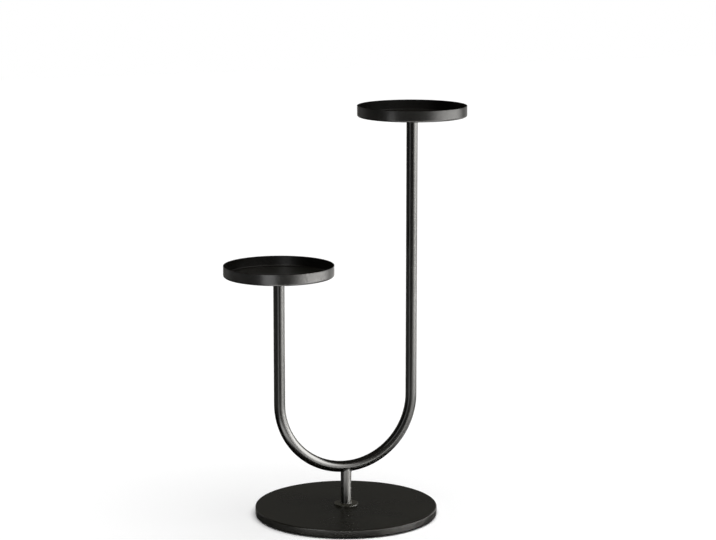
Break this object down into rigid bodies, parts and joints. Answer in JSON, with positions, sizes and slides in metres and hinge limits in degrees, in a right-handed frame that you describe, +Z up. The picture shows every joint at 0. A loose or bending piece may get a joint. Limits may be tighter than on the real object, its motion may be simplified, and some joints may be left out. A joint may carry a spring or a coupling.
{
  "type": "corner plant stand",
  "caption": "Black plant stand: a U-shaped tube on a short stem and a round weighted base, with a round rimmed tray at the top of each leg.",
  "frame": {"origin": "on the floor under the centre of the base", "axes": "+Z up, X along the plane of the U from the short leg to the long leg, Y across it"},
  "size_m": [0.49, 0.36, 0.808],
  "materials": {
    "black_coat": "satin",
    "plated_steel": "satin",
    "black_screw": "satin",
    "cement": "matte",
    "foot_rubber": "matte"
  },
  "bodies": {
    "root": {"base_feet": "foot_rubber", "base_bottom_plate": "plated_steel", "base_ballast": "cement", "base_stiffener": "plated_steel", "base_cover": "black_coat", "base_bolt": "plated_steel", "base_spring_washer": "plated_steel", "base_flat_washer": "plated_steel", "stem_flange": "black_coat", "stem_plug": "plated_steel", "stem_tube": "black_coat", "u_bend": "black_coat", "short_leg_bush": "plated_steel", "long_leg_bush": "plated_steel", "short_leg_stud": "plated_steel", "long_leg_stud": "plated_steel", "short_leg": "black_coat", "long_leg": "black_coat", "short_leg_plug": "plated_steel", "long_leg_plug": "plated_steel", "lower_tray_flange": "black_coat", "upper_tray_flange": "black_coat", "lower_tray": "black_coat", "upper_tray": "black_coat", "lower_tray_screw": "black_screw", "upper_tray_screw": "black_screw"}
  },
  "joints": []
}
